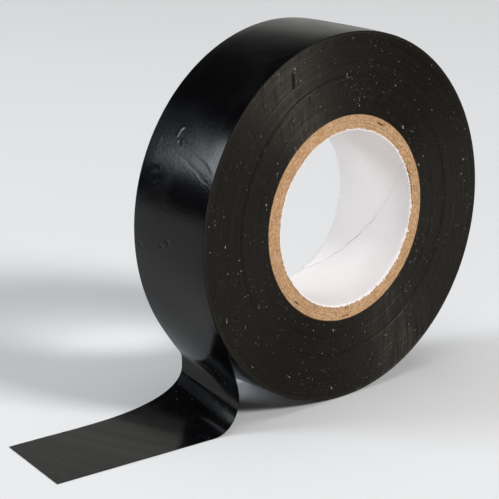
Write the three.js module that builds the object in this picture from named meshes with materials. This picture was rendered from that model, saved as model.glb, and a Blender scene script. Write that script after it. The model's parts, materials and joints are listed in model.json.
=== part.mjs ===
// Roll of black PVC electrical tape on a paper core, standing on its rim, with a short tail of
// tape peeled off and lying flat beside it. Millimetres, +Z up. The origin is the centre of the
// roll, +Y is the roll's axis, and the tail runs towards -X on the plane that the roll stands on.
import * as THREE from 'three';
import { mergeVertices } from 'three/addons/utils/BufferGeometryUtils.js';

// Roll
const ROLL_RADIUS = 34.5;
const CORE_RADIUS = 19.25;
const BORE_RADIUS = 16.3;
const TAPE_WIDTH = 19;
const ROLL_FACETS = 72;

// Core: one white liner inside five plies of kraft paper, with a glue line outside each of them
const LINER_THICKNESS = 0.2;
const GLUE_LINE = 0.02;
const PLY_COUNT = 5;

// Tape: a PVC film with its adhesive
const TAPE_THICKNESS = 0.13;

// Tail: it leaves the roll at the lower left, curls back under itself and lies flat
const STANDOFF = 0.25;
const CLING_START = THREE.MathUtils.degToRad(205);
const TAIL_YAW = THREE.MathUtils.degToRad(-4.66);
const CREASE_X = -47.6;
const CREASE_Y = 1.8;
const CREASE_GAP = 0.3;
const FLAT_LENGTH_NEAR = 15.9;
const FLAT_LENGTH_FAR = 14.25;
const LEAD_STATIONS = 44;
const LEAD_LANES = 3;

// The two edges of the curl differ, because the tape peels off along a slanted line. Each edge
// gives the angle where it leaves the roll, the point where it hangs straight down, how far along
// the tail it meets the table, and the lengths of the handles that round its two bends.
const NEAR_EDGE = {
  side: -1,
  leavesAt: THREE.MathUtils.degToRad(207.5),
  plumb: { x: -26.5, y: -9.4, z: -27.95 },
  touchdown: 16.3,
  peelHandle: 3.7,
  plumbHandleUp: 2.5,
  plumbHandleDown: 3.4,
  touchdownHandle: 3.5,
};
const FAR_EDGE = {
  side: 1,
  leavesAt: THREE.MathUtils.degToRad(216.5),
  plumb: { x: -24, y: 9.55, z: -27.6 },
  touchdown: 0.4,
  peelHandle: 6.9,
  plumbHandleUp: 3,
  plumbHandleDown: 3.2,
  touchdownHandle: 18.1,
};

const tapeBlack = new THREE.MeshStandardMaterial({ color: '#1b1b1d', roughness: 0.25, metalness: 0 });
const linerWhite = new THREE.MeshStandardMaterial({ color: '#e6e3ea', roughness: 0.85, metalness: 0 });
const kraftTan = new THREE.MeshStandardMaterial({ color: '#c39f76', roughness: 0.9, metalness: 0 });

const electricalTapeRoll = new THREE.Group();

function addPiece(name, geometry, material, parent = electricalTapeRoll) {
  const piece = new THREE.Mesh(geometry, material);
  piece.name = name;
  parent.add(piece);
  return piece;
}

// A plain ring about the Y axis. Its flats, not its corners, lie at the stated radii, and one flat
// faces straight down.
function ringGeometry(innerRadius, outerRadius) {
  const halfWidth = TAPE_WIDTH / 2;
  const cornerScale = 1 / Math.cos(Math.PI / ROLL_FACETS);
  const inner = innerRadius * cornerScale;
  const outer = outerRadius * cornerScale;
  const profile = [
    new THREE.Vector2(inner, -halfWidth),
    new THREE.Vector2(outer, -halfWidth),
    new THREE.Vector2(outer, halfWidth),
    new THREE.Vector2(inner, halfWidth),
    new THREE.Vector2(inner, -halfWidth),
  ];
  return new THREE.LatheGeometry(profile, ROLL_FACETS, Math.PI / ROLL_FACETS, 2 * Math.PI);
}

// Core: the liner, then the kraft plies from the inside out
function addCore() {
  addPiece('core_liner', ringGeometry(BORE_RADIUS, BORE_RADIUS + LINER_THICKNESS), linerWhite);
  const pliesStart = BORE_RADIUS + LINER_THICKNESS + GLUE_LINE;
  const plyPitch = (CORE_RADIUS + GLUE_LINE - pliesStart) / PLY_COUNT;
  for (let ply = 0; ply < PLY_COUNT; ply += 1) {
    const inner = pliesStart + ply * plyPitch;
    const geometry = ringGeometry(inner, inner + plyPitch - GLUE_LINE);
    addPiece(`core_ply_${ply + 1}`, geometry, kraftTan);
  }
}

// Directions on the table: along the tail towards the roll, and across it towards the far edge
const along = new THREE.Vector3(Math.cos(TAIL_YAW), Math.sin(TAIL_YAW), 0);
const across = new THREE.Vector3(-Math.sin(TAIL_YAW), Math.cos(TAIL_YAW), 0);
const crease = new THREE.Vector3(CREASE_X, CREASE_Y, -ROLL_RADIUS);

// A point on the upper face of the flat tail, on one of its edges
function tailTop(distance, side) {
  const lift = new THREE.Vector3(0, 0, TAPE_THICKNESS);
  return crease
    .clone()
    .add(lift)
    .addScaledVector(along, distance)
    .addScaledVector(across, (side * TAPE_WIDTH) / 2);
}

// A point on the outer face of the tape where it still lies on the roll
function rimPoint(angle, side) {
  const radius = ROLL_RADIUS + STANDOFF;
  return new THREE.Vector3(radius * Math.cos(angle), (side * TAPE_WIDTH) / 2, radius * Math.sin(angle));
}

function rimDirection(angle) {
  return new THREE.Vector3(-Math.sin(angle), 0, Math.cos(angle));
}

// One edge of the tail's curl as a path: round the roll, down to where it hangs plumb, back along
// the table, then straight to the crease
function edgePath(edge) {
  const path = new THREE.CurvePath();
  const clingSteps = 4;
  const cling = [];
  for (let step = 0; step <= clingSteps; step += 1) {
    const angle = THREE.MathUtils.lerp(CLING_START, edge.leavesAt, step / clingSteps);
    cling.push(rimPoint(angle, edge.side));
  }
  path.add(new THREE.CatmullRomCurve3(cling));

  const peel = rimPoint(edge.leavesAt, edge.side);
  const plumb = new THREE.Vector3(edge.plumb.x, edge.plumb.y, edge.plumb.z);
  const touchdown = tailTop(edge.touchdown, edge.side);
  const down = new THREE.Vector3(0, 0, -1);
  path.add(
    new THREE.CubicBezierCurve3(
      peel,
      peel.clone().addScaledVector(rimDirection(edge.leavesAt), edge.peelHandle),
      plumb.clone().addScaledVector(down, -edge.plumbHandleUp),
      plumb,
    ),
  );
  path.add(
    new THREE.CubicBezierCurve3(
      plumb,
      plumb.clone().addScaledVector(down, edge.plumbHandleDown),
      touchdown.clone().addScaledVector(along, edge.touchdownHandle),
      touchdown,
    ),
  );
  path.add(new THREE.LineCurve3(touchdown, tailTop(CREASE_GAP / 2, edge.side)));
  return path;
}

// The curl of the tail: rulings between its two edges, with the tape's thickness on the inside
function leadGeometry() {
  const nearEdge = edgePath(NEAR_EDGE);
  const farEdge = edgePath(FAR_EDGE);
  const outerFace = [];
  for (let station = 0; station <= LEAD_STATIONS; station += 1) {
    const nearPoint = nearEdge.getPointAt(station / LEAD_STATIONS);
    const farPoint = farEdge.getPointAt(station / LEAD_STATIONS);
    const row = [];
    for (let lane = 0; lane <= LEAD_LANES; lane += 1) {
      row.push(nearPoint.clone().lerp(farPoint, lane / LEAD_LANES));
    }
    outerFace.push(row);
  }
  const innerFace = outerFace.map((row, station) => {
    const before = outerFace[Math.max(station - 1, 0)];
    const after = outerFace[Math.min(station + 1, LEAD_STATIONS)];
    const ruling = row[LEAD_LANES].clone().sub(row[0]);
    return row.map((point, lane) => {
      const onward = after[lane].clone().sub(before[lane]);
      const inward = ruling.clone().cross(onward).normalize();
      return point.clone().addScaledVector(inward, TAPE_THICKNESS);
    });
  });
  return slabGeometry(outerFace, innerFace);
}

// A closed slab between two grids of points of the same size
function slabGeometry(outerFace, innerFace) {
  const rows = outerFace.length;
  const lanes = outerFace[0].length;
  const points = [...outerFace.flat(), ...innerFace.flat()];
  const innerStart = rows * lanes;
  const index = [];
  const quad = (a, b, c, d) => index.push(a, b, c, a, c, d);
  const at = (row, lane) => row * lanes + lane;
  for (let row = 0; row + 1 < rows; row += 1) {
    for (let lane = 0; lane + 1 < lanes; lane += 1) {
      quad(at(row, lane), at(row + 1, lane), at(row + 1, lane + 1), at(row, lane + 1));
      quad(
        innerStart + at(row, lane),
        innerStart + at(row, lane + 1),
        innerStart + at(row + 1, lane + 1),
        innerStart + at(row + 1, lane),
      );
    }
  }
  const border = [];
  for (let row = 0; row < rows; row += 1) border.push(at(row, 0));
  for (let lane = 1; lane < lanes; lane += 1) border.push(at(rows - 1, lane));
  for (let row = rows - 2; row >= 0; row -= 1) border.push(at(row, lanes - 1));
  for (let lane = lanes - 2; lane > 0; lane -= 1) border.push(at(0, lane));
  border.forEach((here, place) => {
    const next = border[(place + 1) % border.length];
    quad(here, innerStart + here, innerStart + next, next);
  });
  const geometry = new THREE.BufferGeometry().setFromPoints(points);
  geometry.setIndex(index);
  return mergeVertices(geometry);
}

// The flat end of the tail beyond the crease, with its slightly slanted cut
function freeEndGeometry() {
  const halfWidth = TAPE_WIDTH / 2;
  const start = -CREASE_GAP / 2;
  const outline = new THREE.Shape([
    new THREE.Vector2(start, -halfWidth),
    new THREE.Vector2(start, halfWidth),
    new THREE.Vector2(-FLAT_LENGTH_FAR, halfWidth),
    new THREE.Vector2(-FLAT_LENGTH_NEAR, -halfWidth),
  ]);
  return new THREE.ExtrudeGeometry(outline, { depth: TAPE_THICKNESS, bevelEnabled: false });
}

addCore();
addPiece('wound_tape', ringGeometry(CORE_RADIUS + GLUE_LINE, ROLL_RADIUS), tapeBlack);
addPiece('tape_lead', leadGeometry(), tapeBlack);

const freeEndFrame = new THREE.Group();
freeEndFrame.position.copy(crease);
freeEndFrame.rotation.z = TAIL_YAW;
electricalTapeRoll.add(freeEndFrame);
addPiece('tape_free_end', freeEndGeometry(), tapeBlack, freeEndFrame);

export default electricalTapeRoll;
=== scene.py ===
# %% [markdown]
# # A roll of electrical tape
# A real roll is one long strip of soft black PVC film, sticky on its inner side, wound round a
# paper tube. This roll stands on its rim, and a few centimetres of tape are peeled off, curl back
# and lie flat on the table. The CAD model holds plain solids of the right size and the joints.
# Here each of them gets a detailed surface in the same place, and each surface gets its finish.

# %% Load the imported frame
import json

import bpy
import numpy as np
from mathutils import Matrix, Vector


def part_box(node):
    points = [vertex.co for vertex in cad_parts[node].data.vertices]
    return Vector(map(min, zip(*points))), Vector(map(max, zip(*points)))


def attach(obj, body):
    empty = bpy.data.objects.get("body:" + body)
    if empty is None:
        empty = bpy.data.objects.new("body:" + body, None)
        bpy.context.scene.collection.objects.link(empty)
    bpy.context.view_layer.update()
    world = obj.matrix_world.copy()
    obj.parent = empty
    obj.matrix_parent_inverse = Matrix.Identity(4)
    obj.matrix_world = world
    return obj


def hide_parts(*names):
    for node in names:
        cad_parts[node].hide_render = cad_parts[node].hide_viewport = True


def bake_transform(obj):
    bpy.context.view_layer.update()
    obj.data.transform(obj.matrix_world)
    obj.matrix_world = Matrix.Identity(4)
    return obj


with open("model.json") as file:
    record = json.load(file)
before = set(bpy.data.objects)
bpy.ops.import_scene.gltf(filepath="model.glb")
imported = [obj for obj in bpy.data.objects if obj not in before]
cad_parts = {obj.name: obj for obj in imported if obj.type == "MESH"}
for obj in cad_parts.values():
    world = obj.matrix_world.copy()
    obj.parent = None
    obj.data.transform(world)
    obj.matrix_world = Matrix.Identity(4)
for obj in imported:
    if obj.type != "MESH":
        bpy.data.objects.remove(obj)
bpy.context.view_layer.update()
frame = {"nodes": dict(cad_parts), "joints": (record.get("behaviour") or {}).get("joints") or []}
print("nodes:", sorted(frame["nodes"]))

# %% [markdown]
# ## Sizes
# The sizes come from the frame, so that a piece can't drift away from its solid. A ring's box
# gives its outer radius and half its width, the free end's box gives the table and the thickness
# of the tape, and the joint that lifts the free end gives the line where the tail comes to lie flat.
# Only two thin layers are given here as numbers: the liner's paper, and the glue between two rings.

# %% Read the driving sizes
MM = 0.001
ring_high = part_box("wound_tape")[1]
ROLL_RADIUS = ring_high[2]
HALF_WIDTH = ring_high[1]
PLY_NAMES = [f"core_ply_{number}" for number in range(1, 6)]
PLY_OUTSIDES = [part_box(name)[1][2] for name in PLY_NAMES]
CORE_RADIUS = PLY_OUTSIDES[-1]
LINER_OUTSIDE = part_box("core_liner")[1][2]
LINER_THICKNESS = 0.2 * MM
BORE_RADIUS = LINER_OUTSIDE - LINER_THICKNESS
GLUE_LINE = 0.02 * MM
end_low, end_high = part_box("tape_free_end")
TABLE = end_low[2]
TAPE_THICKNESS = end_high[2] - end_low[2]
lift_joint = next(joint for joint in frame["joints"] if joint["name"] == "tail_lift")
CREASE = np.array([lift_joint["pos_m"][0], lift_joint["pos_m"][1], TABLE])
ACROSS = np.array(lift_joint["axis"]) / np.linalg.norm(lift_joint["axis"])
ALONG = np.cross(ACROSS, (0, 0, 1))
print(f"roll {ROLL_RADIUS / MM:.2f} mm in radius")
print(f"core {CORE_RADIUS / MM:.2f} mm in radius, and its bore {BORE_RADIUS / MM:.2f} mm")
print(f"tape {2 * HALF_WIDTH / MM:.1f} mm wide and {TAPE_THICKNESS / MM:.2f} mm thick")

# %% [markdown]
# ## Camera
# A standing roll looks best from a little above its middle, turned so that its side, its rim and
# the tail all show. A long lens from a third of a metre away keeps its two circles nearly the same
# shape. The camera first looks at the roll's centre and is then turned a little down and to the
# left, which leaves room for the tail. It is turned rather than given a shifted lens, because a
# shift would stay on in the views from other sides.

# %% Set the camera
CAMERA_AZIMUTH = np.radians(-43.06)
CAMERA_ELEVATION = np.radians(15.59)
CAMERA_DISTANCE = 10.321 * ROLL_RADIUS
CAMERA_LENS = 138.1
AIM_TURN = np.radians(1.858)
AIM_DROP = np.radians(-1.231)


def camera_basis(azimuth, elevation):
    """Right, up and back directions of a level camera. Back points from the roll to the camera: it
    is -Y turned by the azimuth and then lifted by the elevation. Up is back crossed with right."""
    back = Vector(
        (
            np.sin(azimuth) * np.cos(elevation),
            -np.cos(azimuth) * np.cos(elevation),
            np.sin(elevation),
        )
    )
    right = Vector((np.cos(azimuth), np.sin(azimuth), 0))
    return right, back.cross(right), back


right, up, back = camera_basis(CAMERA_AZIMUTH, CAMERA_ELEVATION)
turn = Matrix.Rotation(AIM_TURN, 3, up)
drop = Matrix.Rotation(AIM_DROP, 3, turn @ right)
camera_data = bpy.data.cameras.new("camera")
camera_data.lens = CAMERA_LENS
camera_data.clip_start = 0.01
camera_data.clip_end = 20
camera = bpy.data.objects.new("camera", camera_data)
axes = Matrix([drop @ turn @ direction for direction in (right, up, back)]).transposed()
camera.matrix_world = Matrix.Translation(back * CAMERA_DISTANCE) @ axes.to_4x4()
bpy.context.collection.objects.link(camera)
bpy.context.scene.camera = camera
bpy.context.scene.view_settings.view_transform = "Standard"
print("camera at", [round(float(value), 4) for value in camera.location])

# %% [markdown]
# ## Meshes from grids
# Every piece here is a surface over two parameters, such as the angle round the roll and the
# distance along a section. Its points are worked out as one array, and this function joins
# neighbouring points with four-sided faces. Closing a direction joins its last points to its first.


# %% Turn a grid of points into a mesh
def grid_faces(rows, lanes, close_rows, close_lanes):
    """Corner numbers of every face: a point, the next in its lane, the one diagonal to it, and
    the next in its row. Points are numbered along the rows, one row after another."""
    number = np.arange(rows * lanes).reshape(rows, lanes)
    if close_rows:
        number = np.vstack([number, number[:1]])
    if close_lanes:
        number = np.hstack([number, number[:, :1]])
    corners = (number[:-1, :-1], number[1:, :-1], number[1:, 1:], number[:-1, 1:])
    return np.stack(corners, axis=-1).reshape(-1, 4)


def make_piece(name, points, faces, finishes, face_finish=None, sharp_angle=40):
    """An object from an array of points and four-cornered faces, smooth except where two faces
    meet at more than sharp_angle degrees. face_finish numbers the finish of each face."""
    mesh = bpy.data.meshes.new(name)
    flat = np.asarray(points, dtype=np.float32).reshape(-1, 3)
    mesh.vertices.add(len(flat))
    mesh.vertices.foreach_set("co", flat.ravel())
    mesh.loops.add(faces.size)
    mesh.loops.foreach_set("vertex_index", faces.ravel().astype(np.int32))
    mesh.polygons.add(len(faces))
    mesh.polygons.foreach_set("loop_start", np.arange(0, faces.size, 4, dtype=np.int32))
    for finish in finishes:
        mesh.materials.append(finish)
    if face_finish is not None:
        mesh.polygons.foreach_set("material_index", np.asarray(face_finish, dtype=np.int32).ravel())
    mesh.update(calc_edges=True)
    mesh.shade_smooth()
    mesh.set_sharp_from_angle(angle=np.radians(sharp_angle))
    mesh.validate()
    piece = bpy.data.objects.new(name, mesh)
    bpy.context.collection.objects.link(piece)
    print(f"{name}: {len(flat)} points, {len(faces)} faces")
    return piece


print("faces of a grid of 3 by 4 points:", len(grid_faces(3, 4, False, False)))

# %% [markdown]
# ## Irregularity
# Nothing on a slit, wound and handled roll is exactly regular. A sum of cosines with seeded phases
# gives a smooth wander that repeats once round the roll, so a ring has no seam, and a single soft
# ridge, laid along a line on the surface, makes a crease, a scratch or a dent.


# %% Define wander and ridges
def wander(angle, waves, seed, roughness=0.5):
    """A sum of cosines that go round once, twice and so on up to waves times, each with a random
    phase and weight. A weight is divided by its count to the power roughness, and the total is
    scaled to about -1 to 1."""
    random = np.random.default_rng(seed)
    count = np.arange(1, waves + 1)
    phase = random.uniform(0, 2 * np.pi, waves)
    weight = random.uniform(0.4, 1, waves) / count**roughness
    total = np.cos(np.asarray(angle)[..., None] * count + phase) @ weight
    return total / np.sqrt((weight**2).sum() / 2) / 2


def ridge(u, v, start, end, width):
    """A rounded ridge of height 1 along the line from start to end, which falls off as a bell
    curve: the exponential of minus the square of distance over width."""
    start, end = np.array(start, float), np.array(end, float)
    line = end - start
    share = ((u - start[0]) * line[0] + (v - start[1]) * line[1]) / (line @ line)
    share = np.clip(share, 0, 1)
    distance = np.hypot(u - start[0] - share * line[0], v - start[1] - share * line[1])
    return np.exp(-((distance / width) ** 2))


print("wander over one turn:", np.round(wander(np.radians([0, 90, 180, 270]), 6, 1), 2))

# %% [markdown]
# ## Finishes as expressions
# A finish is easiest to read as arithmetic: roughness = 0.2 + 0.1 * smudge. This class wraps one
# socket so that Python's operators add Math nodes, and a second one holds the material and adds
# any other node through one method.


# %% Wrap sockets for shader arithmetic
class Wire:
    """One number or vector on its way through a finish."""

    def __init__(self, finish, socket):
        self.finish = finish
        self.socket = socket

    def math(self, operation, first, second=0.0):
        """A Math node on two values or wires."""
        return self.finish.node("ShaderNodeMath", {"operation": operation}, {0: first, 1: second})

    def __add__(self, other):
        return self.math("ADD", self, other)

    def __radd__(self, other):
        return self.math("ADD", other, self)

    def __sub__(self, other):
        return self.math("SUBTRACT", self, other)

    def __rsub__(self, other):
        return self.math("SUBTRACT", other, self)

    def __mul__(self, other):
        return self.math("MULTIPLY", self, other)

    def __rmul__(self, other):
        return self.math("MULTIPLY", other, self)

    def __truediv__(self, other):
        return self.math("DIVIDE", self, other)

    def __rtruediv__(self, other):
        return self.math("DIVIDE", other, self)

    def __pow__(self, other):
        return self.math("POWER", self, other)

    def sine(self):
        return self.math("SINE", self)


class Finish:
    """A material made of a Principled shader and the wires that feed it."""

    def __init__(self, name, **constants):
        self.material = bpy.data.materials.new(name)
        self.material.use_nodes = True
        self.tree = self.material.node_tree
        self.shader = self.tree.nodes["Principled BSDF"]
        for socket, value in constants.items():
            self.shader.inputs[socket.replace("_", " ")].default_value = value

    def node(self, kind, settings=None, inputs=None, output=0):
        """Adds a node, applies its settings, then fills its sockets with values or wires."""
        made = self.tree.nodes.new(kind)
        for key, value in (settings or {}).items():
            setattr(made, key, value)
        for key, value in (inputs or {}).items():
            if isinstance(value, Wire):
                self.tree.links.new(value.socket, made.inputs[key])
            else:
                made.inputs[key].default_value = value
        return Wire(self, made.outputs[output])

    def feed(self, **wires):
        """Joins wires to the shader's sockets, with underscores for spaces."""
        for socket, wire in wires.items():
            self.tree.links.new(wire.socket, self.shader.inputs[socket.replace("_", " ")])

    def place(self):
        """The point on the piece in millimetres, as a vector."""
        point = self.node("ShaderNodeTexCoord", output="Object")
        return self.vector("SCALE", point, Scale=1 / MM)

    def vector(self, operation, first, second=None, **named):
        """A Vector Math node on one or two vectors."""
        given = {0: first, **named}
        if second is not None:
            given[1] = second
        return self.node("ShaderNodeVectorMath", {"operation": operation}, given)

    def split(self, vector):
        """The x, y and z of a vector."""
        parts = self.node("ShaderNodeSeparateXYZ", inputs={0: vector})
        outputs = parts.socket.node.outputs
        return [Wire(self, outputs[axis]) for axis in range(3)]

    def join(self, x, y, z):
        """A vector from its x, y and z."""
        return self.node("ShaderNodeCombineXYZ", inputs={0: x, 1: y, 2: z})

    def noise(self, point, scale, detail=2.0, roughness=0.5, distortion=0.0):
        """Smooth noise about 0.5, with scale features to the millimetre."""
        given = {"Vector": point, "Scale": scale, "Detail": detail}
        given["Roughness"] = roughness
        given["Distortion"] = distortion
        return self.node("ShaderNodeTexNoise", inputs=given)

    def ramp(self, value, low, high, bottom=0.0, top=1.0):
        """A smooth step from bottom to top as value goes from low to high."""
        settings = {"interpolation_type": "SMOOTHSTEP"}
        given = {0: value, 1: low, 2: high, 3: bottom, 4: top}
        return self.node("ShaderNodeMapRange", settings, given)

    def blend(self, share, first, second):
        """A colour between first and second."""
        settings = {"data_type": "RGBA"}
        return self.node("ShaderNodeMix", settings, {0: share, 6: first, 7: second}, output=2)

    def bump(self, height):
        """Bends the normal as if the surface were raised by height in millimetres."""
        return self.node("ShaderNodeBump", inputs={"Height": height, "Distance": MM, "Strength": 1.0})

    def polar(self, point):
        """Distance from the roll's axis in millimetres, which is the root of x squared plus z
        squared, the outward direction, and the position across the width."""
        x, y, z = self.split(point)
        radius = (x * x + z * z) ** 0.5
        outward = self.join(x / radius, 0.0, z / radius)
        return radius, outward, y


def colour(red, green, blue):
    """A colour from values of 0 to 255 on a screen, turned to linear light with alpha 1."""
    share = np.array([red, green, blue]) / 255
    linear = np.where(share <= 0.04045, share / 12.92, ((share + 0.055) / 1.055) ** 2.4)
    return (*(float(value) for value in linear), 1.0)


print("kraft brown in linear light:", [round(value, 3) for value in colour(185, 148, 112)])

# %% [markdown]
# ## Finish of the film
# The outside of PVC tape is a soft, glossy skin. It mirrors broad lights, but its reflections
# waver: the film is calendered, so it has a faint orange peel, it has been stretched over uneven
# turns, and fingers have left smudges that are a little rougher than the rest. The tail has just
# been pulled off the roll, so its film is smoother than the rim's and has caught a little dust.


# %% Make the film's two finishes
def film_finish(name, roughness, peel_height, streak_share, dustiness):
    """Black film whose roughness and orange peel depend on how much it has been handled."""
    film = Finish(name, Specular_IOR_Level=0.18, Specular_Tint=(1.0, 0.985, 0.95, 1.0))
    point = film.place()
    smudge = film.noise(point, 0.11, detail=4, roughness=0.6, distortion=0.8)
    streak = film.noise(film.vector("MULTIPLY", point, (0.25, 1.6, 0.25)), 0.5, detail=3)
    swell = film.noise(point, 0.07, detail=1)
    peel = film.noise(point, 2.4, detail=3, roughness=0.6)
    grit = film.noise(point, 2.9, detail=0)
    patchy = film.ramp(film.noise(point, 0.12, detail=1), 0.42, 0.62)
    speck = film.ramp(grit, 0.79, 0.83) * patchy
    black = film.blend(film.ramp(smudge, 0.35, 0.7), colour(4, 4, 5), colour(9, 9, 10))
    film.feed(Base_Color=film.blend(speck * dustiness, black, colour(150, 150, 155)))
    handled = film.ramp(smudge, 0.4, 0.75)
    film.feed(Roughness=roughness + 0.07 * handled + streak_share * streak + 0.6 * dustiness * speck)
    height = swell * 0.03 + peel * peel_height + streak * 0.0012 + speck * dustiness * 0.06
    film.feed(Normal=film.bump(height))
    return film.material


pvc_film = film_finish(
    "pvc_film_gloss", roughness=0.15, peel_height=0.024, streak_share=0.04, dustiness=0.05
)
fresh_film = film_finish(
    "pvc_film_fresh", roughness=0.07, peel_height=0.003, streak_share=0.10, dustiness=0.3
)
print("film finishes:", pvc_film.name, fresh_film.name)

# %% [markdown]
# ## Finish of the slit side
# The side of the roll is the cut edge of about 117 turns. Each edge is a fine ring, so light
# spreads along the radius and the side glows in two opposite fans, as a record does. The slitting
# knife leaves faint curved scratches across the rings, a few turns stand a little proud or shrink
# back, and pale dust sticks to the edges of the adhesive.


# %% Make the slit side's finish
# The knife's scratches sweep round by so many radians for each millimetre of radius, and the
# winding tension changed at this share of the roll's radius.
KNIFE_SWEEP = -0.017
TENSION_RING = 0.742


def slit_side_finish():
    """Satin black whose normals lean outwards and inwards in turn across the rings, most where the
    knife has worn them."""
    side = Finish("slit_side_satin", Specular_IOR_Level=0.15, Specular_Tint=(1.0, 0.90, 0.77, 1.0))
    point = side.place()
    radius, outward, _ = side.polar(point)
    turns = side.node(
        "ShaderNodeTexNoise",
        {"noise_dimensions": "1D"},
        {"W": radius, "Scale": 9.0, "Detail": 2.0, "Roughness": 0.7},
    )
    bands = side.node(
        "ShaderNodeTexNoise",
        {"noise_dimensions": "1D"},
        {"W": radius + 3.0, "Scale": 0.5, "Detail": 2.0, "Roughness": 0.6},
    )
    swept = side.node(
        "ShaderNodeVectorRotate",
        {"rotation_type": "Y_AXIS"},
        {"Vector": outward, "Angle": radius * KNIFE_SWEEP},
    )
    arcs = side.vector("SCALE", swept, Scale=33.0)
    arcs = side.vector("ADD", arcs, side.join(0.0, radius * 0.04, 0.0))
    knife = side.noise(arcs, 3.6, detail=2, roughness=0.65)
    deep = side.noise(arcs, 1.7, detail=1)
    deep = side.ramp(deep, 0.64, 0.70)
    cloud = side.noise(point, 0.13, detail=4, roughness=0.6)
    grime = side.noise(point, 1.4, detail=4, roughness=0.7)
    dust = side.noise(point, 3.0, detail=0)
    dust = side.ramp(dust, 0.815, 0.845) * side.ramp(cloud, 0.35, 0.65, bottom=0.35)
    lint = side.noise(side.vector("MULTIPLY", point, (1.0, 1.0, 0.55)), 2.2, detail=0, distortion=1.0)
    lint = side.ramp(lint, 0.84, 0.86)
    rim = ROLL_RADIUS / MM
    # Painted highlight: a lighter band over the outer turns, where light catches the side's outer
    # edge.
    painted_rim_highlight = side.ramp(radius, rim - 0.9, rim - 0.5)
    tension = rim * TENSION_RING
    outer_part = side.ramp(radius, tension, tension + 0.03 * rim, bottom=0.75)
    worn = side.ramp(knife, 0.35, 0.7) * 0.6 + 0.4 * side.ramp(bands, 0.35, 0.7)
    tone = side.blend(worn, colour(12, 9, 4), colour(19, 15, 9))
    tone = side.blend(grime * 0.5, tone, colour(14, 11, 7))
    tone = side.blend(painted_rim_highlight * 0.6, tone, colour(34, 32, 28))
    tone = side.blend(dust * 0.42, tone, colour(176, 172, 164))
    side.feed(Base_Color=side.blend(lint * 0.6, tone, colour(205, 200, 190)))
    side.feed(Roughness=0.32 + 0.08 * worn + 0.05 * cloud + 0.2 * dust)
    height = bands * 0.005 + knife * 0.016 - deep * 0.02 + grime * 0.010 + dust * 0.02
    bumped = side.bump(height)
    world_outward = side.node(
        "ShaderNodeVectorTransform",
        {"vector_type": "VECTOR", "convert_from": "OBJECT", "convert_to": "WORLD"},
        {0: outward},
    )
    scratched = side.ramp(knife, 0.43, 0.57) * outer_part
    steepness = 0.43 + 0.24 * scratched - 0.24 * deep + 0.1 * (grime - 0.5)
    flanks = side.ramp((turns * 40.0).sine(), -0.6, 0.6, bottom=-1.0)
    tilt = side.vector("SCALE", world_outward, Scale=flanks * steepness)
    side.feed(Normal=side.vector("NORMALIZE", side.vector("ADD", bumped, tilt)))
    return side.material


slit_side = slit_side_finish()
print("side finish:", slit_side.name)

# %% [markdown]
# ## Finish of the adhesive
# The underside of the tail is rubber adhesive: the same black, but softer, with a fine mottled
# tack instead of a shine.


# %% Make the adhesive's finish
def adhesive_finish():
    """Nearly black rubber whose colour, roughness and height follow a fine mottle, the last two
    together with a broad patch."""
    tack = Finish("rubber_adhesive_tack", Specular_IOR_Level=0.4)
    point = tack.place()
    mottle = tack.noise(point, 1.7, detail=4, roughness=0.7)
    patch = tack.noise(point, 0.2, detail=2)
    tack.feed(Base_Color=tack.blend(mottle, colour(15, 14, 13), colour(34, 32, 30)))
    tack.feed(Roughness=0.38 + 0.22 * tack.ramp(patch, 0.3, 0.7) + 0.1 * mottle)
    tack.feed(Normal=tack.bump(mottle * 0.02 + patch * 0.04))
    return tack.material


adhesive = adhesive_finish()
print("adhesive finish:", adhesive.name)

# %% [markdown]
# ## Finish of the core's papers
# Kraft paper is brown wood pulp: mottled tan, with short fibres that run round the tube, and a few
# dark flecks of bark. Painted shade darkens its outer edge, where it meets the wound tape. The liner
# is smooth white paper with the thin dark line where its spiral edges meet.


# %% Make the kraft finish
def kraft_finish():
    """Tan paper under five layers of noise: grain, fibres drawn out round the tube, pulp, flecks
    and bark. Painted shade darkens it towards the tube's outer edge, where it meets the wound tape."""
    kraft = Finish("kraft_paper_cut", Specular_IOR_Level=0.2)
    point = kraft.place()
    radius, outward, across = kraft.polar(point)
    wound = kraft.vector("SCALE", outward, Scale=17.0)
    stretched = kraft.vector("ADD", wound, kraft.join(0.0, across * 2.0 + radius * 2.0, 0.0))
    fibre = kraft.noise(stretched, 1.6, detail=4, roughness=0.7)
    pulp = kraft.noise(point, 0.5, detail=4, roughness=0.65)
    grain = kraft.noise(point, 2.7, detail=3, roughness=0.65)
    fleck = kraft.ramp(kraft.noise(point, 2.1, detail=1), 0.68, 0.75)
    bark = kraft.ramp(kraft.noise(point, 1.3, detail=2, distortion=1.5), 0.74, 0.79)
    tan = kraft.blend(kraft.ramp(grain, 0.3, 0.7), colour(164, 124, 87), colour(206, 172, 135))
    tan = kraft.blend(kraft.ramp(fibre, 0.45, 0.75) * 0.4, tan, colour(160, 122, 86))
    tan = kraft.blend(kraft.ramp(pulp, 0.35, 0.7) * 0.35, tan, colour(166, 127, 90))
    tan = kraft.blend(fleck * 0.5, tan, colour(112, 78, 50))
    # Painted shade: the tube's outer edge is darkened where it meets the wound tape.
    edge = CORE_RADIUS / MM
    painted_edge_shade = kraft.ramp(radius, edge - 0.3, edge - 0.02)
    tan = kraft.blend(painted_edge_shade * 0.55, tan, colour(104, 72, 46))
    kraft.feed(Base_Color=kraft.blend(bark * 0.8, tan, colour(74, 52, 34)))
    kraft.feed(Roughness=0.82 + 0.14 * fibre)
    kraft.feed(Normal=kraft.bump(fibre * 0.04 + grain * 0.05 + pulp * 0.06))
    return kraft.material


kraft_paper = kraft_finish()
print("core finish:", kraft_paper.name)

# %% Make the liner's finish
# The seam's place across the width in millimetres at angle 0, and its change for each degree.
SEAM_HEIGHT = -4.0
SEAM_SLOPE = -0.19


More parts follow.
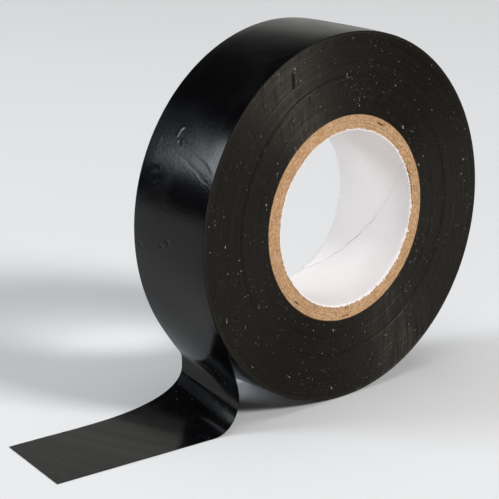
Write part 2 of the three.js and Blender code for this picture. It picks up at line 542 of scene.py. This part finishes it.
def liner_finish():
    """White paper with a broken, wavering line where the distance from the seam is nearly zero."""
    liner = Finish("white_liner_paper", Specular_IOR_Level=0.25)
    point = liner.place()
    x, y, z = liner.split(point)
    angle = liner.node("ShaderNodeMath", {"operation": "ARCTAN2"}, {0: z, 1: x}) * (180 / np.pi)
    drift = (liner.noise(point, 0.28, detail=3) - 0.5) * 2.2
    gap = y - SEAM_HEIGHT - angle * SEAM_SLOPE + drift
    breaks = liner.ramp(liner.noise(point, 0.33, detail=2), 0.38, 0.6)
    seam = 1.0 - liner.ramp(gap * gap, 0.001, 0.016)
    pulp = liner.noise(point, 0.9, detail=5, roughness=0.7)
    cloud = liner.noise(point, 0.16, detail=3)
    speck = liner.ramp(liner.noise(point, 1.5, detail=1), 0.79, 0.82)
    white = liner.blend(cloud, colour(232, 226, 224), colour(244, 239, 236))
    white = liner.blend(pulp * 0.3, white, colour(218, 211, 210))
    faded = liner.ramp(angle, -25, 5, bottom=1.0, top=0.3)
    white = liner.blend(seam * breaks * faded * 0.55, white, colour(138, 130, 138))
    liner.feed(Base_Color=liner.blend(speck * 0.35, white, colour(150, 140, 138)))
    liner.feed(Roughness=0.62 + 0.2 * pulp)
    liner.feed(Normal=liner.bump(pulp * 0.012 + cloud * 0.05 - seam * faded * 0.05))
    return liner.material


liner_paper = liner_finish()
print("finishes:", [material.name for material in bpy.data.materials])

# %% [markdown]
# ## Rings
# The tube's plies, its liner and the wound tape are all rings: one closed section carried round
# the roll's axis. A section runs across the outside from the far side to the near side, in along
# the near side, back through the inside and out along the far side, which turns the faces outwards.


# %% Carry a section round the axis
# Points across the inside of a ring, and how far a corner's middle point lies from the corner, as
# a share of the rounding.
INSIDE_STEPS = 5
CORNER_SHARE = 0.29


def section(inner, outer, rim_steps, side_steps, rounding):
    """Radius, position across the width, and part (0 outside, 1 near side, 2 inside, 3 far side)
    of each point of a ring's closed section. The straight sides end short of each corner by the
    rounding, and one point between their ends makes the corner round."""
    half = HALF_WIDTH
    rim = np.linspace(half - rounding, rounding - half, rim_steps)
    side = np.linspace(outer - rounding, inner + rounding, side_steps)
    soft = rounding * CORNER_SHARE
    radius = np.concatenate(
        [
            np.full(rim_steps, outer),
            [outer - soft],
            side,
            [inner + soft],
            np.full(INSIDE_STEPS, inner),
            [inner + soft],
            side[::-1],
            [outer - soft],
        ]
    )
    inside = np.linspace(rounding - half, half - rounding, INSIDE_STEPS)
    across = np.concatenate(
        [
            rim,
            [soft - half],
            np.full(side_steps, -half),
            [soft - half],
            inside,
            [half - soft],
            np.full(side_steps, half),
            [half - soft],
        ]
    )
    counts = [rim_steps + 1, side_steps + 1, INSIDE_STEPS + 1, side_steps + 1]
    part = np.repeat([0, 1, 2, 3], counts)
    return radius, across, part


def around(angle, radius, across):
    """Points round the axis: x is radius times the cosine of angle, z is radius times its sine,
    and y is the position across the width."""
    across = np.broadcast_to(across, np.broadcast(angle, radius).shape)
    return np.stack([radius * np.cos(angle), across, radius * np.sin(angle)], axis=-1)


ROUND_STEPS = 480
turn_angle = np.arange(ROUND_STEPS)[:, None] * 2 * np.pi / ROUND_STEPS
CREASED_FROM = 140
CREASED_TO = 186
crease_steps = np.arange(CREASED_FROM, CREASED_TO, 0.2)
rest_steps = np.linspace(CREASED_TO, CREASED_FROM + 360, 380, endpoint=False)
creased_angle = np.radians(np.concatenate([crease_steps, rest_steps]))[:, None]
print("a ring has", ROUND_STEPS, "steps, and the creased one", len(creased_angle))

# %% [markdown]
# ## The wound tape
# The wound tape is seen as two surfaces: the glossy rim, which is the film of the last turn, and
# the two slit sides. On the sides one ring stands where the winding tension changed, the last few
# turns sit a little proud, and a few nicks cross the rings. The rim has soft waves from the turns
# beneath, two crossing creases, a bruise and a few pits. A height over angle and radius, or over
# angle and width, holds all of these, so they are real shape and not only shading. A crease on
# the rim and a nick on a side are both finer than the steps round the roll. So the last turn is a
# thin ring of its own, with close steps where it is creased, and the other turns are one ring with
# close steps at the nicks.

# %% Define the relief of the slit sides
# Places and widths of rings are shares of the roll's radius, and heights are in millimetres. A
# nick has a start and an end, each in degrees and millimetres from the axis, a width and a height.
GROOVE_WIDTH = 0.0058
GROOVE_DEPTH = 0.11
INNER_RING = 0.641
OUTER_RING = 0.845
LAST_TURNS = 0.985
NEAR_SEED = 5
FAR_SEED = 9
NICKS = [
    ((46.0, 24.6), (47.4, 23.1), 0.13, -0.12),
    ((115.0, 31.6), (116.5, 29.4), 0.13, -0.16),
    ((31.0, 32.9), (33.2, 30.8), 0.12, -0.08),
    ((268.0, 27.2), (269.0, 25.9), 0.12, -0.07),
    ((204.0, 30.4), (205.6, 29.6), 0.12, -0.07),
]


def side_relief(angle, radius, seed):
    """Height of a slit side in millimetres over angle (radians) and radius (metres). It adds a slow
    dish, random rings, one groove that drifts outwards near the top with a shelf outside it, two
    minor rings, and a step up at the last turns."""
    share = radius / ROLL_RADIUS
    dish = 0.05 * wander(angle, 3, seed) * (share - 0.55)
    rings = 0.003 * wander(share * 40, 6, seed + 1, roughness=0.1)
    from_top = (np.degrees(angle) - 90 + 180) % 360 - 180
    groove_at = TENSION_RING + 0.027 * np.exp(-((from_top / 48) ** 2))
    groove = np.exp(-(((share - groove_at) / GROOVE_WIDTH) ** 2))
    shelf = 1 / (1 + np.exp(-(share - groove_at) / 0.004))
    fan = 0.45 + 0.55 * np.exp(-(((from_top - 50) / 75) ** 2))
    minor = np.exp(-(((share - INNER_RING) / 0.004) ** 2))
    minor = minor + np.exp(-(((share - OUTER_RING) / 0.005) ** 2))
    proud = 0.035 / (1 + np.exp(-(share - LAST_TURNS) / 0.0018))
    return dish + rings - GROOVE_DEPTH * groove * fan + 0.03 * shelf - 0.018 * minor + proud


def nick_relief(angle, radius):
    """Height in millimetres of a few short nicks, each a ridge along a line."""
    radial = radius / MM
    along = angle * radial
    total = np.zeros(np.broadcast(angle, radius).shape)
    for (start_angle, start_radius), (end_angle, end_radius), width, height in NICKS:
        start = (np.radians(start_angle) * start_radius, start_radius)
        end = (np.radians(end_angle) * end_radius, end_radius)
        total = total + height * ridge(along, radial, start, end, width)
    return total


rim_heights = side_relief(np.radians([0.0, 120.0]), ROLL_RADIUS, NEAR_SEED)
print("side relief at the rim in mm:", np.round(rim_heights, 3))

# %% Define the relief of the rim
# A crease is a line of points, each in degrees round the rim and millimetres across it, a width
# and a height.
FOLD = [(149.5, 0.9), (150.1, -0.5), (150.9, -2.5), (152.0, -4.5), (153.5, -7.1), (155.8, -9.0)]
SCORE = [(150.6, 6.2), (153.5, 0.4), (156.8, -5.1), (159.2, -7.8)]
HOOK = [(145.2, 2.3), (146.5, 2.9), (148.2, 2.9)]
BRUISE_ARC = [(161.4, 7.2), (160.2, 6.9), (159.3, 6.2), (158.9, 5.2)]
BRUISE_CURL = [(162.6, 4.9), (161.8, 4.2), (162.0, 3.5), (163.3, 3.8), (164.6, 5.0), (166.0, 5.2)]
CREASES = [
    (FOLD, 0.45, 0.034),
    (SCORE, 0.30, -0.013),
    (HOOK, 0.26, 0.060),
    ([(148.9, 2.2), (149.4, 1.4)], 0.30, 0.030),
    ([(149.8, 1.9), (150.2, 1.3)], 0.26, -0.030),
    (BRUISE_ARC, 0.50, -0.034),
    (BRUISE_CURL, 0.52, -0.044),
    ([(144.8, 8.3), (144.1, 3.8)], 0.30, 0.008),
    ([(179.0, 0.1), (179.4, -0.1)], 0.32, -0.130),
    ([(181.0, 1.9), (181.1, 1.5)], 0.28, -0.100),
    ([(182.8, 8.0), (183.0, 7.8)], 0.28, -0.100),
    ([(118.0, 5.5), (131.0, 4.0)], 1.6, 0.012),
    ([(62.0, -4.0), (75.0, -5.5)], 1.8, 0.020),
    ([(12.0, 4.0), (28.0, 2.0)], 1.8, -0.025),
    ([(318.0, -3.0), (331.0, -1.0)], 1.6, 0.025),
]
CROWN = 0.10
SHOULDER = 0.05
SHOULDER_FROM = 0.68


def rim_relief(angle, across):
    """Height of the rim in millimetres over angle (radians) and width (metres): slow waves plus
    soft creases, minus a crown that falls off with the square of the distance from the middle and
    faster over the last 3 mm. At the two edges creases fade out, and waves to less than half."""
    degree = np.radians(1) * ROLL_RADIUS / MM
    along = np.degrees(angle) * degree
    edge = np.clip((HALF_WIDTH - np.abs(across)) / (1.2 * MM), 0, 1)
    waves = 0.010 * wander(angle, 9, 21) + 0.006 * wander(angle + across / MM * 0.05, 24, 22)
    total = waves * (0.4 + 0.6 * edge)
    for line, width, height in CREASES:
        crest = 0.0
        points = [(arc * degree, side) for arc, side in line]
        for start, end in zip(points[:-1], points[1:]):
            crest = np.maximum(crest, ridge(along, across / MM, start, end, width))
        total = total + height * edge * crest
    out = np.abs(across) / HALF_WIDTH
    shoulder = np.clip((out - SHOULDER_FROM) / (1 - SHOULDER_FROM), 0, 1)
    return total - CROWN * out**2 - SHOULDER * shoulder**2


fold_heights = rim_relief(np.radians([149.0, 150.1]), -0.5 * MM)
print("rim relief beside the fold and on it, in mm:", np.round(fold_heights, 3))


# %% Make the wound turns and the last turn
LAST_TURN_INSIDE = ROLL_RADIUS - TAPE_THICKNESS
CORNER = 0.03 * MM
NICK_MARGIN = 0.7
NICK_STEP = 0.12
nick_low = np.array([start[0] - NICK_MARGIN for start, end, width, height in NICKS])
nick_high = np.array([end[0] + NICK_MARGIN for start, end, width, height in NICKS])
nick_spans = [np.arange(low, high, NICK_STEP) for low, high in zip(nick_low, nick_high)]
nick_steps = np.concatenate(nick_spans)
whole_steps = np.arange(360.0)[:, None]
clear = ((whole_steps < nick_low) | (whole_steps > nick_high)).all(axis=1)
nicked_angle = np.radians(np.sort(np.concatenate([whole_steps[clear, 0], nick_steps])))[:, None]
print("the wound turns have", len(nicked_angle), "steps")


def near_and_far(angle, radial, lateral):
    """Relief of both slit sides in metres, taken outwards across the width. It fades to nothing
    over the first 0.05 mm inwards from each side."""
    near = side_relief(angle, radial, NEAR_SEED) + nick_relief(angle, radial)
    far = side_relief(angle, radial, FAR_SEED)
    reach = np.clip((np.abs(lateral) - HALF_WIDTH) / (0.05 * MM) + 1, 0, 1)
    return np.where(lateral < 0, -near, far) * reach * MM


def wound_turns():
    """All turns but the last, as one ring: its section carried round the axis, with the relief of
    the sides. Its outside follows the crown of the last turn, which covers it."""
    outside = LAST_TURN_INSIDE - GLUE_LINE
    inside = CORE_RADIUS + GLUE_LINE
    radius, across, _ = section(inside, outside, rim_steps=4, side_steps=92, rounding=CORNER)
    rows = len(nicked_angle)
    radial = np.broadcast_to(radius, (rows, len(radius)))
    lateral = np.broadcast_to(across, radial.shape)
    rim_share = np.clip((radial - outside) / (0.4 * MM) + 1, 0, 1)
    relief = near_and_far(nicked_angle, radial, lateral)
    drop = rim_share * rim_relief(nicked_angle, lateral) * MM
    points = around(nicked_angle, radial + drop, lateral + relief)
    faces = grid_faces(rows, len(radius), True, True)
    return make_piece("wound_turns", points, faces, [slit_side])


def last_turn():
    """The last turn as a thin ring whose outside and inside both follow the relief of the rim."""
    radius, across, part = section(
        LAST_TURN_INSIDE, ROLL_RADIUS, rim_steps=92, side_steps=4, rounding=CORNER
    )
    rows = len(creased_angle)
    radial = np.broadcast_to(radius, (rows, len(radius)))
    lateral = np.broadcast_to(across, radial.shape)
    relief = near_and_far(creased_angle, radial, lateral)
    drop = rim_relief(creased_angle, lateral) * MM
    points = around(creased_angle, radial + drop, lateral + relief)
    faces = grid_faces(rows, len(radius), True, True)
    finish = np.broadcast_to((part != 0).astype(int), (rows, len(radius)))
    return make_piece("last_turn", points, faces, [pvc_film, slit_side], finish)


for turns in (wound_turns(), last_turn()):
    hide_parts("wound_tape")
    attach(turns, "roll")

# %% [markdown]
# ## The core
# Each ply is its own ring of kraft. The saw that cut the tube to length tore the fibres, so each
# end face is rough and its corners are soft, which leaves a dark line between plies. On one side
# the first ply has come away from the second and leaves a narrow gap.

# %% Make the plies
# A slit has its middle and half its length in degrees, and its radius in millimetres.
PLY_ROUND = 0.09 * MM
PLY_SEED = 40
SLIT_DEPTH = 0.7
OPEN_GAP_AT = np.radians(16)
OPEN_GAP_WIDTH = 0.16 * MM
SLITS = [
    (62.0, 3.4, 18.3),
    (269.0, 3.2, 18.65),
    (270.0, 1.6, 17.2),
    (227.0, 2.0, 18.25),
    (15.0, 8.0, 16.75),
]


def slit_depth(angle, radial):
    """Millimetres by which a few short slits, where plies have parted, open the near end face: a
    bell curve across each slit, times one to the fourth power along it, with a slight bow."""
    radius = radial / MM
    deepest = np.zeros(np.broadcast(angle, radial).shape)
    for middle, reach, at in SLITS:
        away = (np.degrees(angle) - middle + 180) % 360 - 180
        bow = at + 0.12 * (away / reach) ** 2
        here = np.exp(-((away / reach) ** 4)) * np.exp(-(((radius - bow) / 0.11) ** 2))
        deepest = np.maximum(deepest, SLIT_DEPTH * here)
    return deepest


def ply_ring(inner, outer, seed):
    """Distance from the axis, position across the width and depth into the ply of every point of a
    ring. Its end faces are torn by wander over angle and radius, about 0.1 mm deep."""
    radius, across, _ = section(inner, outer, rim_steps=6, side_steps=9, rounding=PLY_ROUND)
    radial = np.broadcast_to(radius, (ROUND_STEPS, len(radius)))
    lateral = np.broadcast_to(across, radial.shape)
    depth = (radial - inner) / (outer - inner)
    torn = 0.035 * wander(turn_angle + depth * 0.3, 160, seed, roughness=0.2)
    torn = torn + 0.03 * wander(turn_angle + depth * 6.0, 60, seed + 1, roughness=0.3)
    reach = np.clip((np.abs(lateral) - HALF_WIDTH) / (0.08 * MM) + 1, 0, 1)
    torn = torn - slit_depth(turn_angle, radial) * (lateral < 0)
    relief = np.sign(lateral) * (torn - 0.05) * reach * MM
    return radial, lateral + relief, depth


def make_plies():
    """Five rings, each a glue line outside the last. The first shrinks where its gap is open."""
    inner = LINER_OUTSIDE + GLUE_LINE
    for number, outer in enumerate(PLY_OUTSIDES):
        name = f"kraft_ply_{number + 1}"
        radial, lateral, depth = ply_ring(inner, outer, PLY_SEED + number)
        if number == 0:
            away = (turn_angle - OPEN_GAP_AT + np.pi) % (2 * np.pi) - np.pi
            opening = np.exp(-((away / np.radians(9)) ** 2))
            opening = opening * np.clip((-lateral - 0.8 * HALF_WIDTH) / (0.2 * HALF_WIDTH), 0, 1)
            radial = radial - OPEN_GAP_WIDTH * opening * depth
        faces = grid_faces(ROUND_STEPS, radial.shape[1], True, True)
        points = around(turn_angle, radial, lateral)
        ply = make_piece(name, points, faces, [kraft_paper], sharp_angle=70)
        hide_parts(PLY_NAMES[number])
        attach(ply, "roll")
        inner = outer + GLUE_LINE


make_plies()

# %% [markdown]
# The liner is thinner than a fingernail, so what shows is its inner face, the seam where its
# spiral edges meet, and its torn ends. Where the saw broke it, the white paper frays and stands a
# little proud of the kraft.

# %% Make the liner
LINER_STEPS = 720
LINER_LANES = 56


def seam_distance(angle, across):
    """Millimetres from the liner's spiral seam: the position across, minus the seam's height,
    minus its slope times the angle in degrees."""
    degrees = (np.degrees(angle) + 180) % 360 - 180
    return across / MM - SEAM_HEIGHT - SEAM_SLOPE * degrees


def liner_ring():
    """A thin ring with a ragged edge. Its inner radius is the bore's, plus a bell curve at the
    seam, minus a wider one beside it, and its two ends flare outwards by a random amount."""
    angle = np.arange(LINER_STEPS)[:, None] * 2 * np.pi / LINER_STEPS
    across = np.linspace(-1, 1, LINER_LANES)
    torn_more = 0.5 + 0.5 * np.cos(angle + np.radians(25))
    fray = wander(angle, 200, 70, roughness=0.1) * (0.5 + 0.8 * torn_more)
    ragged = 0.13 * fray + 0.06 * wander(angle, 30, 71)
    near_end = -HALF_WIDTH - np.clip(ragged + 0.06, -0.02, 0.36) * MM
    far_end = HALF_WIDTH + np.clip(0.12 * wander(angle, 160, 72, roughness=0.2), -0.1, 0.3) * MM
    lateral = near_end + (across + 1) / 2 * (far_end - near_end)
    gap = seam_distance(angle, lateral)
    groove = np.exp(-((gap / 0.28) ** 2))
    lip = np.exp(-(((gap - 0.5) / 0.5) ** 2))
    inner = BORE_RADIUS + (0.05 * groove - 0.05 * lip + 0.02 * wander(angle, 9, 73)) * MM
    outer = np.full_like(inner, LINER_OUTSIDE)
    edge = np.clip((np.abs(across) - 0.985) / 0.015, 0, 1)
    inner = inner + edge * 0.05 * MM
    spread = 0.08 + 0.10 * wander(angle, 110, 74, roughness=0.1) + 0.16 * np.clip(fray, 0, 1.5)
    flare = edge * np.clip(spread, 0, 0.42) * MM
    radial = np.concatenate([inner + flare, outer[:, ::-1] + flare[:, ::-1]], axis=1)
    lateral = np.concatenate([lateral, lateral[:, ::-1]], axis=1)
    faces = grid_faces(LINER_STEPS, 2 * LINER_LANES, True, True)
    points = around(angle, radial, lateral)
    return make_piece("white_liner", points, faces, [liner_paper], sharp_angle=60)


liner = liner_ring()
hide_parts("core_liner")
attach(liner, "roll")

# %% [markdown]
# ## The tail
# The strip leaves the roll along a slanted line, because the hand that pulled it skewed it by
# about five degrees. Its near edge peels off first and bends back sharply, and its far edge stays
# on longer and comes down in a gentler curve. So each edge gets its own path, an arc on the roll
# and two cubic curves, and the film is the surface of straight rulings between the two edges.
# Its outer face starts a hair inside the rim and rises just proud of it, and its thickness grows
# from a twentieth to the whole where it peels.

# %% Lay out the two edges
# Each edge leaves the roll at an angle in degrees, hangs plumb at a point in millimetres, and
# touches down so many millimetres ahead of the crease. Its four handles are the reach of the two
# cubic curves at the peel, above and below the plumb point, and after touching down.
CLING_START = np.radians(205)
FLAT_NEAR = 15.9 * MM
FLAT_FAR = 14.25 * MM
FLUSH = 0.012 * MM
NEAR_EDGE = {
    "side": -1,
    "leaves": 207.5,
    "plumb": (-26.5, -9.4, -27.95),
    "touchdown": 16.3,
    "handles": (3.7, 2.5, 3.4, 3.5),
}
FAR_EDGE = {
    "side": 1,
    "leaves": 216.5,
    "plumb": (-24.0, 9.55, -27.6),
    "touchdown": 0.4,
    "handles": (6.9, 3.0, 3.2, 18.1),
}


def cubic(first, second, third, fourth, steps):
    """A cubic Bezier curve: its four points are weighted by the four terms of the cube of the sum
    of t and its rest to 1, as t goes from 0 to 1."""
    t = np.linspace(0, 1, steps)[:, None]
    rest = 1 - t
    return rest**3 * first + 3 * rest**2 * t * second + 3 * rest * t**2 * third + t**3 * fourth


def tail_top(distance, side):
    """A point on the upper face of the flat tail, distance ahead of the crease, on one edge."""
    lift = np.array([0, 0, TAPE_THICKNESS])
    return CREASE + lift + ALONG * distance + ACROSS * side * HALF_WIDTH


ARC_STEPS = 24
DROP_STEPS = 60
BEND_STEPS = 90
RUN_STEPS = 12
CURL_STEPS = 171


def edge_path(edge):
    """The arc on the roll, the drop to where the film hangs plumb, the bend to the table, and the
    straight run to the crease, one after another."""
    radius = ROLL_RADIUS + FLUSH
    leaves = np.radians(edge["leaves"])
    clings = np.linspace(CLING_START, leaves, ARC_STEPS)
    arc = around(clings, radius, edge["side"] * HALF_WIDTH)
    heading = np.array([-np.sin(leaves), 0, np.cos(leaves)])
    plumb = np.array(edge["plumb"]) * MM
    landing = tail_top(edge["touchdown"] * MM, edge["side"])
    peel, above, below, after = (np.array(handle) * MM for handle in edge["handles"])
    down = np.array([0, 0, -1.0])
    drop = cubic(arc[-1], arc[-1] + heading * peel, plumb - down * above, plumb, DROP_STEPS)
    bend = cubic(plumb, plumb + down * below, landing + ALONG * after, landing, BEND_STEPS)
    share = np.linspace(0, 1, RUN_STEPS)[:, None]
    run = landing + share * (tail_top(0, edge["side"]) - landing)
    return np.concatenate([arc, drop[1:], bend[1:], run[1:]])


def even_points(path, count):
    """The same path as count points at equal distances along it, and its length, which is the sum
    of the gaps between its points."""
    gaps = np.linalg.norm(np.diff(path, axis=0), axis=1)
    travelled = np.concatenate([[0], np.cumsum(gaps)])
    wanted = np.linspace(0, travelled[-1], count)
    columns = [np.interp(wanted, travelled, path[:, axis]) for axis in range(3)]
    return np.stack(columns, axis=-1), travelled[-1]


near_curl, near_length = even_points(edge_path(NEAR_EDGE), CURL_STEPS)
far_curl, far_length = even_points(edge_path(FAR_EDGE), CURL_STEPS)
print(f"curl: near edge {near_length / MM:.1f} mm, far edge {far_length / MM:.1f} mm")

# %% Make the tail
TAIL_LANES = 25
FLAT_STEPS = 64
# Stations count the rulings from where the tail starts on the roll. By RISEN_AT its start has come
# up out of the rim. From LIFTS_AT the film lifts off and thickens, and by FREE_AT it no longer
# follows the relief of the rim.
RISEN_AT = 14
LIFTS_AT = 20
FREE_AT = 46
HANGS_FROM = 22
HANGS_TO = 118
LANDS_FROM = 120
LANDS_TO = 150
THICKENS_OVER = 14


def tail_faces():
    """The outer and inner faces of the strip and its two edges. The outer face is straight rulings
    between the edges, raised along its normal by a slight crown where it hangs free, a faint
    ripple, and the rim's relief where it clings. The inner face lies one thickness behind it."""
    share = np.linspace(0, 1, FLAT_STEPS + 1)[1:, None]
    near = np.vstack([near_curl, tail_top(0, -1) - ALONG * FLAT_NEAR * share])
    far = np.vstack([far_curl, tail_top(0, 1) - ALONG * FLAT_FAR * share])
    lane = np.linspace(0, 1, TAIL_LANES)[None, :, None]
    outer = far[:, None] * (1 - lane) + near[:, None] * lane
    onward = np.gradient(outer, axis=0)
    ruling = np.broadcast_to((near - far)[:, None], outer.shape)
    outward = np.cross(onward, ruling)
    outward = outward / np.linalg.norm(outward, axis=-1, keepdims=True)
    station = np.arange(len(near))[:, None]
    hang_share = np.clip((station - HANGS_FROM) / (HANGS_TO - HANGS_FROM), 0, 1)
    hanging = np.sin(np.pi * hang_share) ** 2
    crown = 0.10 * np.sin(np.pi * lane[..., 0])
    ripple = 0.03 * wander(station * 0.05 + lane[..., 0] * 2, 5, 81)
    settled = np.clip((station - LANDS_FROM) / (LANDS_TO - LANDS_FROM), 0, 1)
    ripple_flat = 0.022 * (1 + wander(station * 0.045 + lane[..., 0] * 1.6, 9, 83)) * settled
    clinging = np.clip((FREE_AT - station) / (FREE_AT - LIFTS_AT), 0, 1)
    angle = np.arctan2(outer[..., 2], outer[..., 0])
    sunk = 0.018 * np.clip((RISEN_AT - station) / RISEN_AT, 0, 1) ** 2
    seated = rim_relief(angle, outer[..., 1]) - sunk
    height = (crown + ripple) * hanging + np.maximum(ripple_flat, 0)
    height = height + seated * clinging**2 * (3 - 2 * clinging)
    outer = outer + outward * (height * MM)[..., None]
    thickening = np.clip((station - LIFTS_AT) / THICKENS_OVER, 0, 1)
    thickness = TAPE_THICKNESS * (0.05 + 0.95 * thickening)
    inner = outer - outward * thickness[..., None]
    return outer, inner, near, far


def tape_tail():
    """A closed slab: the outer face's lanes, then the inner face's lanes backwards, joined along
    both edges and capped at both ends."""
    outer, inner, near, far = tail_faces()
    rows = len(outer)
    points = np.concatenate([outer, inner[:, ::-1]], axis=1)
    faces = grid_faces(rows, 2 * TAIL_LANES, False, True)
    finish = np.zeros((rows - 1, 2 * TAIL_LANES), int)
    finish[:, TAIL_LANES : 2 * TAIL_LANES - 1] = 1
    lane = np.arange(TAIL_LANES - 1)
    back = 2 * TAIL_LANES - 1 - lane
    start_cap = np.stack([lane, lane + 1, back - 1, back], axis=-1)
    last_row = (rows - 1) * 2 * TAIL_LANES
    end_cap = start_cap[:, ::-1] + last_row
    faces = np.concatenate([faces, start_cap, end_cap])
    finish = np.concatenate([finish.ravel(), np.zeros(2 * (TAIL_LANES - 1), int)])
    piece = make_piece("tape_tail", points, faces, [fresh_film, adhesive], finish, sharp_angle=50)
    length = np.linalg.norm(np.diff((near + far) / 2, axis=0), axis=1).sum()
    print(f"tail {length / MM:.1f} mm long down its middle")
    return piece


tail = tape_tail()
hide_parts("tape_lead", "tape_free_end")
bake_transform(tail)

# %% [markdown]
# ## Table and lights
# The table is a plain pale sheet. Gloss is judged by what it mirrors, so the lights are chosen by
# where the roll would see them. The key is a softbox in front, well above the table, which lights
# the side's upper left and lower right fans and the core. A weak fill on the left softens its
# shadows, and a broad overhead light whitens the table. A cool box behind on the left draws the
# bright band down the rim, with a dim cool glow beside it. A screen behind on the right, with a
# fainter strip above it, whitens the top of the rim and fades towards the left.

# %% Lay the table
TABLE_REACH = 3
TABLE_STEPS = 9


def table_finish():
    """Pale matt paper, with painted shade that darkens it slightly far from the roll."""
    paper = Finish("pale_table", Specular_IOR_Level=0.05, Roughness=0.9)
    point = paper.place()
    cloud = paper.noise(point, 0.01, detail=2)
    x, y, z = paper.split(point)
    # Painted shade: the table darkens from 450 to 800 mm away from the roll.
    far_painted_shade = paper.ramp((x * x + y * y) ** 0.5, 450, 800)
    pale = paper.blend(cloud, colour(222, 222, 222), colour(226, 226, 226))
    paper.feed(Base_Color=paper.blend(far_painted_shade, pale, colour(170, 171, 173)))
    return paper.material


def lay_table():
    """A flat square grid at the height of the table, reaching as many metres each way."""
    steps = np.linspace(-TABLE_REACH, TABLE_REACH, TABLE_STEPS)
    x, y = np.meshgrid(steps, steps, indexing="ij")
    points = np.stack([x, y, np.full_like(x, TABLE)], axis=-1)
    faces = grid_faces(TABLE_STEPS, TABLE_STEPS, False, False)
    return make_piece("table", points, faces, [table_finish()])


table = lay_table()


# %% Hang the lights
def softbox(name, azimuth, elevation, distance, size, power, tint=(1, 1, 1)):
    """A rectangular light facing the roll. Azimuth is measured from +X towards +Y and elevation up
    from the level, both in degrees. Distance and size are in metres, and power is in watts."""
    data = bpy.data.lights.new(name, "AREA")
    data.shape = "RECTANGLE"
    data.size, data.size_y = size
    data.energy = power
    data.color = tint
    light = bpy.data.objects.new(name, data)
    across, lift = np.radians(azimuth), np.radians(elevation)
    way = Vector((np.cos(across) * np.cos(lift), np.sin(across) * np.cos(lift), np.sin(lift)))
    light.location = way * distance
    light.rotation_mode = "QUATERNION"
    light.rotation_quaternion = way.to_track_quat("Z", "Y")
    bpy.context.collection.objects.link(light)


softbox("key", -75, 34, 2.2, (0.50, 0.48), 39.0)
softbox("fill", -142, 14, 1.2, (0.8, 0.6), 2.2)
softbox("overhead", 90, 88, 1.3, (1.3, 1.3), 8.6)
softbox("rim_box", 143, 25.5, 1.0, (0.44, 0.30), 5.0, (0.84, 0.92, 1.0))
softbox("rim_glow", 117, 20, 1.05, (0.30, 0.54), 0.16, (0.70, 0.84, 1.0))
softbox("back_screen", 53, 13, 1.0, (0.83, 0.48), 0.64, (1.0, 0.98, 0.93))
softbox("back_edge", 53, 31.5, 1.0, (0.83, 0.157), 0.06, (1.0, 0.98, 0.93))
world = bpy.data.worlds.new("dim room")
world.use_nodes = True
background = world.node_tree.nodes["Background"]
background.inputs["Color"].default_value = (0.95, 0.97, 1.0, 1)
background.inputs["Strength"].default_value = 0.03
bpy.context.scene.world = world
print("lights:", [item.name for item in bpy.data.lights])
